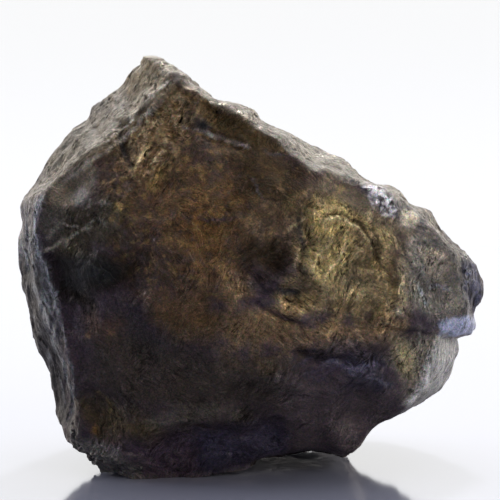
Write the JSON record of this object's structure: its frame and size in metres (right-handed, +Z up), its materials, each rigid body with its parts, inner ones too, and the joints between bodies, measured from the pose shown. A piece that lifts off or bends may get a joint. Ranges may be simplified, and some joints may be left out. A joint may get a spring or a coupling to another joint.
{
  "type": "rough iolite stone",
  "caption": "Rough, broken piece of dark violet-brown iolite crystal with a pointed crown, a stepped right end and a small flat underside to rest on.",
  "frame": {"origin": "middle of the bounding box's base, on the plane the stone rests on", "axes": "+Z up; -Y is the way the broad broken face looks; +X runs towards the stepped end, on the right when the broad face is seen"},
  "size_m": [0.0264, 0.0178, 0.0232],
  "materials": {
    "iolite": "glassy broken crystal, nearly opaque, violet-brown with gold and grey zones"
  },
  "bodies": {
    "root": {"iolite_stone": "iolite"}
  },
  "joints": []
}
